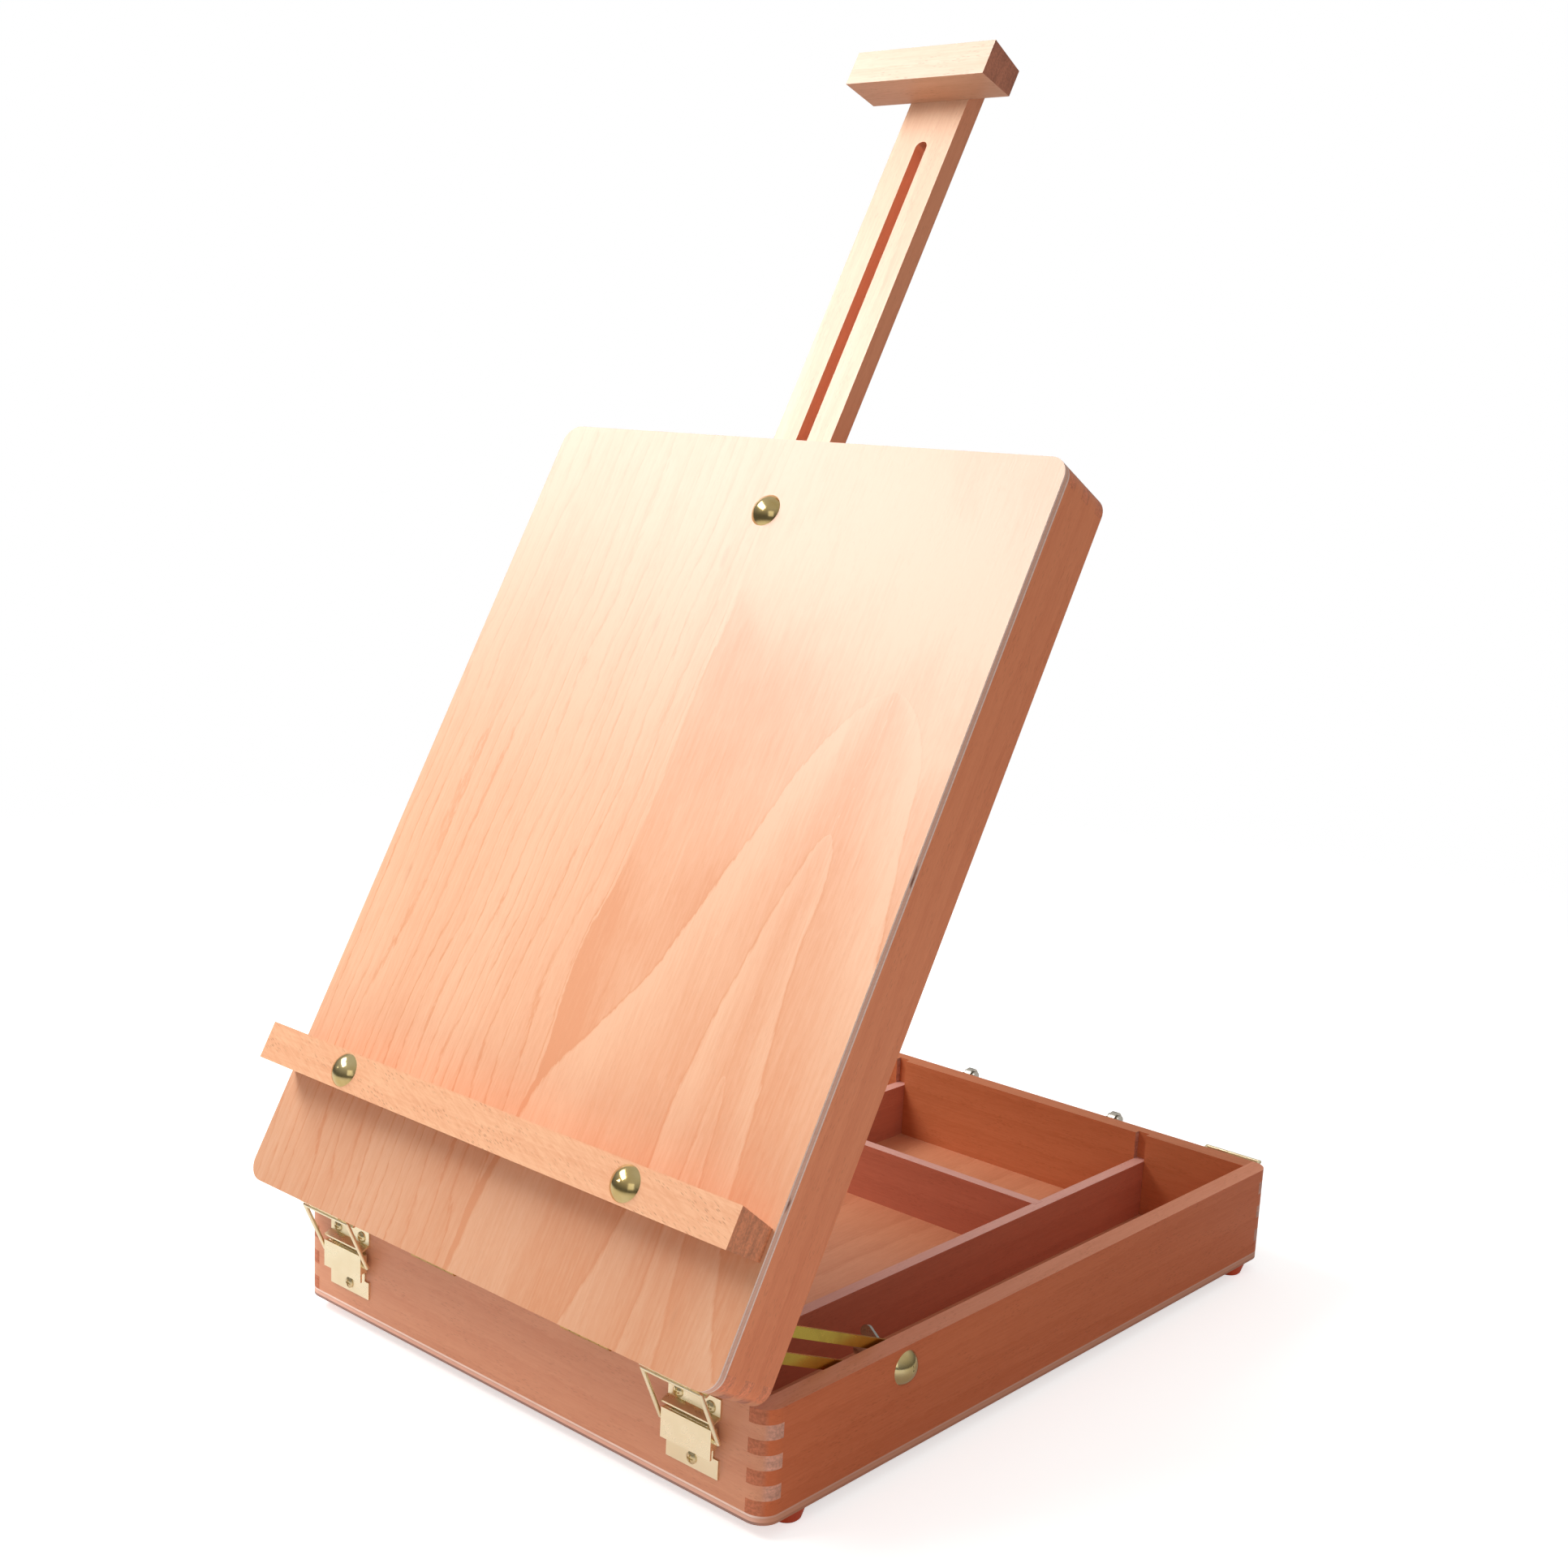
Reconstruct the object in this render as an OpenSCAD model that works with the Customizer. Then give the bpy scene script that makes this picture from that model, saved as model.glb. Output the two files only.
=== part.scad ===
// Tabletop box easel: a shallow case whose lid stands up on slotted stays
// and carries a canvas ledge and a sliding mast with a clamp block.

/* [Case] */
// Width of the case, left to right
case_w = 300; // [290:1:330]
// Depth of the case, front to back
case_d = 400; // [390:1:430]
// Height of the base, underside of its bottom to its rim
base_h = 50; // [48:1:54]
// Height of the lid, rim to outer face
lid_h = 35; // [35:1:38]
// Thickness of the solid walls and lid rails
wall_t = 10; // [9.5:0.5:11]
// Thickness of the plywood bottom and lid panel
ply_t = 4; // [3.5:0.5:4.5]
// Radius of the upright corners
corner_r = 9; // [4:1:9]
// Height of the rubber feet
foot_h = 7; // [5:0.5:8]
// Diameter of the rubber feet where they meet the case
foot_d = 17; // [13:0.5:18]

/* [Trays] */
// Thickness of the dividers
divider_t = 6.4; // [5:0.2:7]
// Height of the divider tops above the underside of the base
divider_top = 35; // [28:1:36]
// Centre of the long divider, right of the middle
long_divider_x = 77; // [60:1:90]
// Centre of the short divider, left of the middle
short_divider_x = 90; // [70:1:110]
// Front face of the cross divider, from the front of the case
cross_divider_y = 292; // [260:1:320]

/* [Lid] */
// Angle that the lid stands at
open_angle = 61; // [50:1:62]
// Gap between the two rims when the lid is shut
rim_gap = 0.5; // [0.4:0.1:0.8]

/* [Ledge and mast] */
// Length of the canvas ledge
ledge_w = 297; // [260:1:298]
// Distance of the ledge's lower face from the lid's lower end
ledge_u = 53.2; // [50:0.2:70]
// Depth of the ledge and of the clamp block
bar_depth = 22.5; // [18:0.5:26]
// Height of the ledge and of the clamp block at their front
bar_h = 17.6; // [15:0.2:20]
// How much lower the bevelled face is at the back
bar_bevel = 4; // [2:0.5:5]
// Spacing of the two ledge bolts
ledge_bolt_span = 180; // [150:2:220]
// Width of the mast
mast_w = 34; // [30:1:38]
// Thickness of the mast
mast_t = 10; // [8:0.5:10]
// Length of the mast
mast_l = 292; // [280:1:300]
// Distance of the mast's top from the lid's lower end
mast_top_u = 597; // [596:1:600]
// Distance of the mast bolt from the lid's lower end
mast_bolt_u = 364; // [360:1:366]
// Width of the clamp block
clamp_w = 80; // [60:1:100]

/* [Stays] */
// Distance of the stay bolts from the front of the case
stay_bolt_y = 88; // [86:1:90]
// Height of the stay bolts above the underside of the base
stay_bolt_z = 40; // [38:0.5:41]
// Stay pivot from the lid's lower end
stay_pivot_u = 23.3; // [22:0.1:25]
// Stay pivot from the lid's rim
stay_pivot_v = 17; // [15:0.5:18]
// Width of the stays
stay_w = 16; // [14:0.5:16]

/* [Latches, hinges and handle] */
// Distance of each latch from the middle of the case
latch_x = 113; // [105:1:115]
// How far both front latches sit to the right of even
latch_shift = -2; // [-3:0.5:3]
// Distance of each hinge from the middle of the case
hinge_x = 50; // [40:1:60]
// How far the front latch loops lean out
front_loop_lean = 25; // [24:1:32]
// How far the back left latch loop leans out
back_left_loop_lean = 80; // [60:1:84]
// How far the back right latch loop leans out
back_right_loop_lean = 70; // [60:1:84]
// Distance of each handle bracket from the middle of the case
bracket_x = 50; // [44:1:60]

/* [Hidden] */
$fn = 48;

// Distance from the front of the case to the origin, which is under the middle of the whole object
origin_y = 198;
// Extra length that a cutter runs past the face it opens
cut = 1;

base_wall_h = base_h - ply_t;
lid_wall_h = lid_h - ply_t;
base_fingers = 7;
lid_fingers = 5;
groove_depth = 3.5;
groove_slack = 0.1;
inner_x = case_w / 2 - wall_t;
foot_inset = 9;
foot_front_inset = 24.5;
foot_back_inset = 18;
foot_taper = 2;

// Hinge line, and where the shut lid starts
hinge_y = -2.7;
hinge_z = base_h - 1.46;
lid_z = base_h + rim_gap;
knuckle_r = 1.75;
knuckle_bore = 0.85;
hinge_pin_r = 0.8;
knuckle_web = 0.9;
hinge_l = 30;
knuckles = 5;
knuckle_gap = 0.3;
leaf_t = 1;
leaf_depth = 8.5;
leaf_screw_span = 16;

// Threaded parts
bolt_r = 3;
bolt_hole_r = 3.1;
dome_r = 7.8;
dome_h = 4.2;
washer_r = 7;
washer_t = 1.2;
nut_h = 8;
running = 0.05;

// Stays: the plate, its slot and where it stands at rest
stay_t = 2;
stay_x = 136.6;
stay_slot_r = 3.2;
stay_slot_start = 26;
stay_slot_spare = 0.8;
stay_pin_r = 2.5;
pivot_closed = [stay_pivot_u, lid_z + stay_pivot_v];
pivot_rest = swing(pivot_closed);
stay_angle = atan2(stay_bolt_z - pivot_rest[1], stay_bolt_y - pivot_rest[0]);
stay_reach = norm([stay_bolt_y, stay_bolt_z] - pivot_rest);

// Mast: its back and front faces above the lid's rim, and the slot that the bolt runs in
mast_gap = 0.3;
mast_front_v = lid_wall_h - mast_gap;
mast_back_v = mast_front_v - mast_t;
mast_slot_low_u = 343;
mast_slot_high_u = 558;
mast_slot_r = 3.3;
mast_side_gap = 0.4;
guide_w = 12;
guide_low_u = 255;
clamp_screw_span = 40;

// Latch section, measured out from the wall and up from the underside of the base
plate_w = 29;
plate_t = 0.8;
plate_low = 12;
plate_high = 47;
plate_waist = 23;
lower_flange_top = 20.5;
upper_flange_low = 38.4;
lever_w = 28;
lever_low = 21.9;
lever_high = 35.1;
lever_out = 5.2;
sheet_t = 0.9;
lever_pin = [-2.7, 34.2];
lever_pin_r = 0.8;
loop_pin = [-3, 29.6];
loop_wire_r = 1;
loop_x = 16.2;
loop_length = 27.7;
latch_screw_x = 9;
latch_screw_high = 42.2;
latch_screw_low = 16.3;
catch_low = 4;
catch_high = 16;
catch_screw_v = 12;

// Handle, hanging behind the back wall
handle_pin_out = 6.1;
handle_pin_z = 47;
handle_pin_r = 2;
handle_eye_r = 4.5;
handle_eye_w = 3.8;
handle_drop = 30;
handle_grip_out = 7.2;
handle_grip_r = 6.5;
bracket_w = 20;
bracket_low = 29;
bracket_high = 49;
bracket_t = 1.2;

wood = [0.86, 0.62, 0.46];
pale_wood = [0.95, 0.85, 0.72];
brass = [0.88, 0.76, 0.5];
zinc = [0.75, 0.62, 0.25];
steel = [0.72, 0.72, 0.7];
rubber = [0.72, 0.22, 0.12];

// A point beside the hinge line, [y, z] on the shut lid, carried to the standing lid
function swing(p) =
    let (y = p[0] - hinge_y, z = p[1] - hinge_z)
    [hinge_y + y * cos(open_angle) - z * sin(open_angle),
     hinge_z + y * sin(open_angle) + z * cos(open_angle)];

// ---- Frames of reference ----

// The case stands on its feet, with the origin under the middle
module on_base() {
    translate([0, -origin_y, foot_h]) children();
}

// Lid coordinates: y runs up the lid from its lower end, z out from its rim
module on_lid() {
    on_base()
        translate([0, hinge_y, hinge_z])
            rotate([open_angle, 0, 0])
                translate([0, -hinge_y, lid_z - hinge_z])
                    children();
}

// The right-hand stay's own line: y runs from its lid pivot towards its bolt
module on_stay_line() {
    on_base()
        translate([stay_x, pivot_rest[0], pivot_rest[1]])
            rotate([stay_angle, 0, 0])
                children();
}

module both_sides() {
    children();
    mirror([1, 0, 0]) children();
}

module flip_to_left() {
    mirror([1, 0, 0]) children();
}

// The front latch on the given side, or its twin on the back wall
module at_latch(side, back) {
    translate([side * latch_x + (1 - back) * latch_shift, back * case_d, 0])
        rotate([0, 0, back * 180])
            children();
}

// A section drawn in y and z, made into a bar of the given width across x
module bar(width) {
    rotate([90, 0, 90])
        linear_extrude(width, center = true)
            children();
}

// ---- Walls ----

module case_outline() {
    translate([-case_w / 2, corner_r])
        square([case_w, case_d - 2 * corner_r]);
    translate([corner_r - case_w / 2, 0])
        square([case_w - 2 * corner_r, case_d]);
    for (x = [corner_r - case_w / 2, case_w / 2 - corner_r], y = [corner_r, case_d - corner_r])
        translate([x, y])
            circle(corner_r);
}

// Gaps for the fingers of the neighbouring wall, one above another
module finger_gaps(size, height, count, first) {
    pitch = height / count;
    for (i = [first : 2 : count - 1]) {
        low = (i == 0) ? -cut : i * pitch;
        high = (i == count - 1) ? height + cut : (i + 1) * pitch;
        translate([0, 0, low])
            cube([size[0], size[1], high - low]);
    }
}

// A wall along the front, with finger gaps at both ends
module front_wall(height, count, first) {
    intersection() {
        linear_extrude(height)
            case_outline();
        difference() {
            translate([-case_w / 2, 0, 0])
                cube([case_w, wall_t, height]);
            both_sides()
                translate([inner_x, -cut, 0])
                    finger_gaps([wall_t + cut, wall_t + 2 * cut], height, count, first);
        }
    }
}

// A wall along the right side, with finger gaps at both ends
module right_wall(height, count, first) {
    intersection() {
        linear_extrude(height)
            case_outline();
        difference() {
            translate([inner_x, 0, 0])
                cube([wall_t, case_d, height]);
            for (y = [-cut, case_d - wall_t])
                translate([inner_x - cut, y, 0])
                    finger_gaps([wall_t + 2 * cut, wall_t + cut], height, count, first);
        }
    }
}

module to_back() {
    translate([0, case_d, 0])
        mirror([0, 1, 0])
            children();
}

// An upright groove in the front wall's inner face, centred on x
module front_groove(x) {
    width = divider_t + 2 * groove_slack;
    translate([x - width / 2, wall_t - groove_depth, -cut])
        cube([width, groove_depth + cut, base_wall_h + 2 * cut]);
}

// ---- Screws, bolts and nuts ----

// Round-headed wood screw with a crossed recess; the head's underside is at z 0 and it drives down
module wood_screw(head_r, head_h, shank_r, length) {
    slot_w = head_r * 0.3;
    slot_l = head_r * 1.2;
    difference() {
        intersection() {
            cylinder(r = head_r, h = head_h);
            translate([0, 0, head_h - head_r * 1.6])
                sphere(head_r * 1.6);
        }
        for (turn = [0, 90])
            rotate([0, 0, turn])
                translate([-slot_l / 2, -slot_w / 2, head_h * 0.45])
                    cube([slot_l, slot_w, head_h]);
    }
    translate([0, 0, -length])
        cylinder(r = shank_r, h = length);
}

screw_head_r = 2.7;
screw_head_h = 1.3;
screw_shank_r = 1.3;
screw_l = 8;
small_head_r = 2;
small_head_h = 0.7;
small_l = 6;

module screw_hole(length) {
    translate([0, 0, -length])
        cylinder(r = screw_shank_r, h = length + cut);
}

// Dome-headed bolt: the dome stands on z 0 and the shank runs down
module dome_bolt(shank_l) {
    ball_r = (dome_r * dome_r + dome_h * dome_h) / (2 * dome_h);
    intersection() {
        translate([0, 0, dome_h - ball_r])
            sphere(ball_r);
        cylinder(r = dome_r, h = dome_h);
    }
    translate([0, 0, -shank_l])
        cylinder(r = bolt_r, h = shank_l);
}

// Wing nut, standing on z 0, wings along x
module wing_nut() {
    wing_t = 1.8;
    difference() {
        union() {
            cylinder(r1 = 6, r2 = 5, h = nut_h);
            both_sides()
                rotate([90, 0, 0])
                    linear_extrude(wing_t, center = true) {
                        polygon([[4, 1.5], [4, 6.2], [5.8, 10.6], [10.6, 8], [6.6, 1.5]]);
                        translate([8, 9.1])
                            circle(2.7);
                    }
        }
        translate([0, 0, -cut])
            cylinder(r = bolt_r + running, h = nut_h + 20);
    }
}

module washer() {
    difference() {
        cylinder(r = washer_r, h = washer_t);
        translate([0, 0, -cut])
            cylinder(r = bolt_hole_r, h = washer_t + 2 * cut);
    }
}

// ---- Where the fasteners sit ----

module at_latch_screws() {
    for (side = [-1, 1], back = [0, 1])
        at_latch(side, back)
            for (spot = [[-latch_screw_x, latch_screw_high], [latch_screw_x, latch_screw_high], [0, latch_screw_low]])
                translate([spot[0], -plate_t, spot[1]])
                    rotate([90, 0, 0])
                        children();
}

module at_catch_screws() {
    for (side = [-1, 1], back = [0, 1])
        at_latch(side, back)
            for (x = [-latch_screw_x, latch_screw_x])
                translate([x, -leaf_t, catch_screw_v])
                    rotate([90, 0, 0])
                        children();
}

module at_leaf_screws() {
    for (side = [-1, 1], step = [-0.5, 0.5])
        translate([side * hinge_x + step * leaf_screw_span, 5, 0])
            children();
}

module at_bracket_screws() {
    for (side = [-1, 1], step = [-1, 1])
        translate([side * bracket_x + step * 7, case_d + bracket_t, bracket_low + 5])
            rotate([-90, 0, 0])
                children();
}

module at_ledge_bolts() {
    for (x = [-ledge_bolt_span / 2, ledge_bolt_span / 2])
        translate([x, ledge_u + bar_h / 2, 0])
            children();
}

module at_mast_bolt() {
    translate([0, mast_bolt_u, 0])
        children();
}

// The right-hand stay bolt's axis, pointing out through the wall
module at_stay_bolt() {
    translate([case_w / 2, stay_bolt_y, stay_bolt_z])
        rotate([0, 90, 0])
            children();
}

// ---- Base ----

module base_screw_cuts() {
    at_latch_screws() screw_hole(screw_l);
    at_bracket_screws() screw_hole(screw_l);
    translate([0, 0, base_h - leaf_t + small_head_h - 0.1])
        at_leaf_screws()
            screw_hole(small_l + 1);
}

module leaf_recess() {
    for (side = [-1, 1])
        translate([side * hinge_x - hinge_l / 2, -cut, base_h - leaf_t])
            cube([hinge_l, leaf_depth + cut, leaf_t + cut]);
}

module base_front_wall() {
    color(wood)
        on_base()
            difference() {
                translate([0, 0, ply_t])
                    difference() {
                        front_wall(base_wall_h, base_fingers, 0);
                        front_groove(long_divider_x);
                    }
                leaf_recess();
                base_screw_cuts();
            }
}

module base_back_wall() {
    color(wood)
        on_base()
            difference() {
                translate([0, 0, ply_t])
                    to_back()
                        difference() {
                            front_wall(base_wall_h, base_fingers, 0);
                            front_groove(long_divider_x);
                            front_groove(-short_divider_x);
                        }
                base_screw_cuts();
            }
}

module base_right_wall() {
    color(wood)
        on_base()
            difference() {
                translate([0, 0, ply_t])
                    right_wall(base_wall_h, base_fingers, 1);
                at_stay_bolt()
                    translate([0, 0, -wall_t - cut])
                        cylinder(r = bolt_r, h = wall_t + 2 * cut);
            }
}

module base_left_wall() {
    groove_w = divider_t + 2 * groove_slack;
    color(wood)
        on_base()
            flip_to_left()
                difference() {
                    translate([0, 0, ply_t])
                        right_wall(base_wall_h, base_fingers, 1);
                    at_stay_bolt()
                        translate([0, 0, -wall_t - cut])
                            cylinder(r = bolt_r, h = wall_t + 2 * cut);
                    translate([inner_x - cut, cross_divider_y - groove_slack, ply_t - cut])
                        cube([groove_depth + cut, groove_w, base_wall_h + 2 * cut]);
                }
}

module base_bottom() {
    color(wood)
        on_base()
            linear_extrude(ply_t)
                case_outline();
}

module divider(low, high) {
    translate([low[0], low[1], ply_t])
        cube([high[0] - low[0], high[1] - low[1], divider_top - ply_t]);
}

module long_divider() {
    left = long_divider_x - divider_t / 2;
    end = wall_t - groove_depth + groove_slack;
    color(wood)
        on_base()
            difference() {
                divider([left, end], [left + divider_t, case_d - end]);
                translate([left - cut, cross_divider_y - groove_slack, 0])
                    cube([cut + 2, divider_t + 2 * groove_slack, base_h]);
            }
}

module cross_divider() {
    right = long_divider_x - divider_t / 2 + 2 - groove_slack;
    color(wood)
        on_base()
            difference() {
                divider([-inner_x - groove_depth + groove_slack, cross_divider_y],
                        [right, cross_divider_y + divider_t]);
                translate([-short_divider_x - divider_t / 2 - groove_slack, cross_divider_y + divider_t - 2, 0])
                    cube([divider_t + 2 * groove_slack, 2 + cut, base_h]);
            }
}

module short_divider() {
    left = -short_divider_x - divider_t / 2;
    color(wood)
        on_base()
            divider([left, cross_divider_y + divider_t - 2 + groove_slack],
                    [left + divider_t, case_d - wall_t + groove_depth - groove_slack]);
}

module rubber_feet() {
    edge = 0.8;
    low_r = foot_d / 2 - foot_taper;
    color(rubber)
        translate([0, -origin_y, 0])
            for (x = [foot_inset - case_w / 2, case_w / 2 - foot_inset], y = [foot_front_inset, case_d - foot_back_inset])
                translate([x, y, 0])
                    rotate_extrude()
                        polygon([[0, 0], [low_r - edge, 0], [low_r, edge], [foot_d / 2, foot_h], [0, foot_h]]);
}

module stay_bolts() {
    color(brass)
        on_base()
            both_sides()
                at_stay_bolt()
                    dome_bolt(wall_t);
}

module base_screws() {
    color(brass)
        on_base() {
            at_latch_screws()
                wood_screw(screw_head_r, screw_head_h, screw_shank_r, screw_l);
            at_bracket_screws()
                wood_screw(screw_head_r, screw_head_h, screw_shank_r, screw_l);
            translate([0, 0, base_h - small_head_h])
                at_leaf_screws()
                    wood_screw(small_head_r, small_head_h, screw_shank_r, small_l);
        }
}

// ---- Hinges ----

// Knuckles first, first + 2 ... and the flat that joins each to its leaf
module hinge_leaf(first, flat_z, bore_r) {
    step = hinge_l / knuckles;
    for (side = [-1, 1])
        translate([side * hinge_x, 0, 0])
            difference() {
                union() {
                    for (i = [first : 2 : knuckles - 1])
                        translate([i * step - hinge_l / 2 + knuckle_gap / 2, 0, 0]) {
                            translate([0, hinge_y, hinge_z])
                                rotate([0, 90, 0])
                                    cylinder(r = knuckle_r, h = step - knuckle_gap);
                            translate([(step - knuckle_gap) / 2, 0, 0])
                                bar(step - knuckle_gap) {
                                    translate([hinge_y - knuckle_web, hinge_z])
                                        square([2 * knuckle_web, flat_z + leaf_t - hinge_z]);
                                    translate([hinge_y, flat_z])
                                        square([-hinge_y + cut, leaf_t]);
                                }
                        }
                    translate([-hinge_l / 2, 0, flat_z])
                        cube([hinge_l, leaf_depth, leaf_t]);
                }
                translate([-hinge_l, hinge_y, hinge_z])
                    rotate([0, 90, 0])
                        cylinder(r = bore_r, h = 2 * hinge_l);
                for (x = [-leaf_screw_span / 2, leaf_screw_span / 2])
                    translate([x, 5, 0]) {
                        cylinder(r = screw_shank_r, h = base_h + lid_h);
                        translate([0, 0, flat_z < base_h ? base_h - small_head_h : flat_z - cut])
                            cylinder(r = small_head_r, h = small_head_h + cut);
                    }
            }
}

module hinge_base_leaves() {
    color(brass)
        on_base()
            hinge_leaf(0, base_h - leaf_t, hinge_pin_r);
}

// Drawn on the shut lid, then swung up with it
module hinge_lid_leaves() {
    color(brass)
        on_lid()
            translate([0, 0, -lid_z])
                hinge_leaf(1, lid_z, knuckle_bore);
}

module hinge_pins() {
    color(brass)
        on_base()
            for (side = [-1, 1])
                translate([side * hinge_x - hinge_l / 2, hinge_y, hinge_z])
                    rotate([0, 90, 0])
                        cylinder(r = hinge_pin_r, h = hinge_l);
}

// ---- Latches ----

// Fixed plate: a flat sheet with a raised ramp above the lever, and two ears that hold the lever's pin
module latch_plate() {
    ear_x = 10.2;
    ear_t = 1;
    ear_r = 1.25;
    translate([-plate_w / 2, -plate_t, plate_low])
        cube([plate_w, plate_t, lower_flange_top - plate_low]);
    translate([-plate_waist / 2, -plate_t, plate_low])
        cube([plate_waist, plate_t, plate_high - plate_low]);
    translate([-plate_w / 2, -plate_t, upper_flange_low])
        cube([plate_w, plate_t, plate_high - upper_flange_low]);
    bar(plate_w)
        polygon([[-0.4, 39.6], [-4.8, 37.8], [-4.8, 37.1], [-0.4, 38.7]]);
    difference() {
        for (side = [-1, 1])
            translate([side * ear_x, 0, 0])
                bar(ear_t) {
                    translate(lever_pin)
                        circle(ear_r);
                    translate([lever_pin[0], lever_pin[1] - ear_r])
                        square([-lever_pin[0] - 0.4, 2 * ear_r]);
                }
        translate([-plate_w, lever_pin[0], lever_pin[1]])
            rotate([0, 90, 0])
                cylinder(r = lever_pin_r, h = 2 * plate_w);
    }
}

module plate_pair(back) {
    difference() {
        for (side = [-1, 1])
            at_latch(side, back)
                latch_plate();
        at_latch_screws()
            translate([0, 0, -plate_t - cut])
                cylinder(r = screw_shank_r, h = plate_t + 2 * cut);
    }
}

module front_latch_plates() {
    color(brass)
        on_base()
            plate_pair(0);
}

module back_latch_plates() {
    color(brass)
        on_base()
            plate_pair(1);
}

module latch_pivot_pins() {
    color(brass)
        on_base()
            for (side = [-1, 1], back = [0, 1])
                at_latch(side, back)
                    translate([-lever_w / 2, lever_pin[0], lever_pin[1]])
                        rotate([0, 90, 0])
                            cylinder(r = lever_pin_r, h = lever_w);
}

// Lever: a pressed cover with two cheeks, which turn on the pin and carry the wire loop
module latch_lever() {
    cheek_top = 35;
    cheek_low = 26;
    cheek_back = -1.5;
    difference() {
        union() {
            translate([-lever_w / 2, -lever_out, lever_low])
                cube([lever_w, sheet_t, lever_high - lever_low]);
            for (x = [-lever_w / 2, lever_w / 2 - sheet_t])
                translate([x, -lever_out, cheek_low])
                    cube([sheet_t, cheek_back + lever_out, cheek_top - cheek_low]);
        }
        for (pin = [[lever_pin, lever_pin_r + running], [loop_pin, loop_wire_r + running]])
            translate([-plate_w, pin[0][0], pin[0][1]])
                rotate([0, 90, 0])
                    cylinder(r = pin[1], h = 2 * plate_w);
    }
}

// Wire loop: two inturned ends, two legs and the bar between them
module wire_loop(lean) {
    inturn = 4.3;
    translate([0, loop_pin[0], loop_pin[1]])
        rotate([lean, 0, 0]) {
            both_sides() {
                translate([loop_x - inturn, 0, 0])
                    rotate([0, 90, 0])
                        cylinder(r = loop_wire_r, h = inturn);
                translate([loop_x, 0, 0])
                    cylinder(r = loop_wire_r, h = loop_length);
                for (z = [0, loop_length])
                    translate([loop_x, 0, z])
                        sphere(loop_wire_r);
            }
            translate([-loop_x, 0, loop_length])
                rotate([0, 90, 0])
                    cylinder(r = loop_wire_r, h = 2 * loop_x);
        }
}

module lever_at(side, back) {
    color(brass)
        on_base()
            at_latch(side, back)
                latch_lever();
}

module loop_at(side, back, lean) {
    color(brass)
        on_base()
            at_latch(side, back)
                wire_loop(lean);
}

module front_left_lever() { lever_at(-1, 0); }
module front_right_lever() { lever_at(1, 0); }
module back_left_lever() { lever_at(-1, 1); }
module back_right_lever() { lever_at(1, 1); }
module front_left_loop() { loop_at(-1, 0, front_loop_lean); }
module front_right_loop() { loop_at(1, 0, front_loop_lean); }
module back_left_loop() { loop_at(-1, 1, back_left_loop_lean); }
module back_right_loop() { loop_at(1, 1, back_right_loop_lean); }

// Catch on the lid: a plate with a hook at its lower edge and a rolled upper edge
module catch_plate() {
    hook_r = 2;
    roll_r = 1.1;
    translate([-plate_w / 2, -leaf_t, catch_low])
        cube([plate_w, leaf_t, catch_high - catch_low]);
    bar(plate_w)
        intersection() {
            translate([-hook_r, catch_low + hook_r])
                difference() {
                    circle(hook_r);
                    circle(hook_r - leaf_t);
                }
            translate([-2 * hook_r - cut, catch_low - cut])
                square([2 * hook_r + cut, hook_r + cut]);
        }
    translate([-plate_w / 2, -roll_r, catch_high])
        rotate([0, 90, 0])
            cylinder(r = roll_r, h = plate_w);
}

module catch_pair(back) {
    difference() {
        for (side = [-1, 1])
            at_latch(side, back)
                catch_plate();
        at_catch_screws()
            translate([0, 0, -leaf_t - cut])
                cylinder(r = screw_shank_r, h = leaf_t + 2 * cut);
    }
}

module front_catches() {
    color(brass)
        on_lid()
            catch_pair(0);
}

module back_catches() {
    color(brass)
        on_lid()
            catch_pair(1);
}

// ---- Handle ----

module handle_brackets() {
    ear_t = 1.5;
    ear_in = handle_eye_w / 2 + 0.3;
    color(brass)
        on_base()
            difference() {
                for (side = [-1, 1])
                    translate([side * bracket_x, case_d, 0]) {
                        translate([-bracket_w / 2, 0, bracket_low])
                            cube([bracket_w, bracket_t, bracket_high - bracket_low]);
                        for (x = [-ear_in - ear_t / 2, ear_in + ear_t / 2])
                            translate([x, 0, 0])
                                bar(ear_t) {
                                    translate([handle_pin_out, handle_pin_z])
                                        circle(3.1);
                                    translate([0, handle_pin_z - 7])
                                        square([handle_pin_out, 9]);
                                }
                    }
                translate([-case_w / 2, case_d + handle_pin_out, handle_pin_z])
                    rotate([0, 90, 0])
                        cylinder(r = handle_pin_r, h = case_w);
                at_bracket_screws()
                    translate([0, 0, -bracket_t - cut])
                        cylinder(r = screw_shank_r, h = bracket_t + 2 * cut);
            }
}

module handle_pins() {
    pin_l = handle_eye_w + 3.6;
    color(brass)
        on_base()
            for (side = [-1, 1])
                translate([side * bracket_x - pin_l / 2, case_d + handle_pin_out, handle_pin_z])
                    rotate([0, 90, 0])
                        cylinder(r = handle_pin_r, h = pin_l);
}

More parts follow.
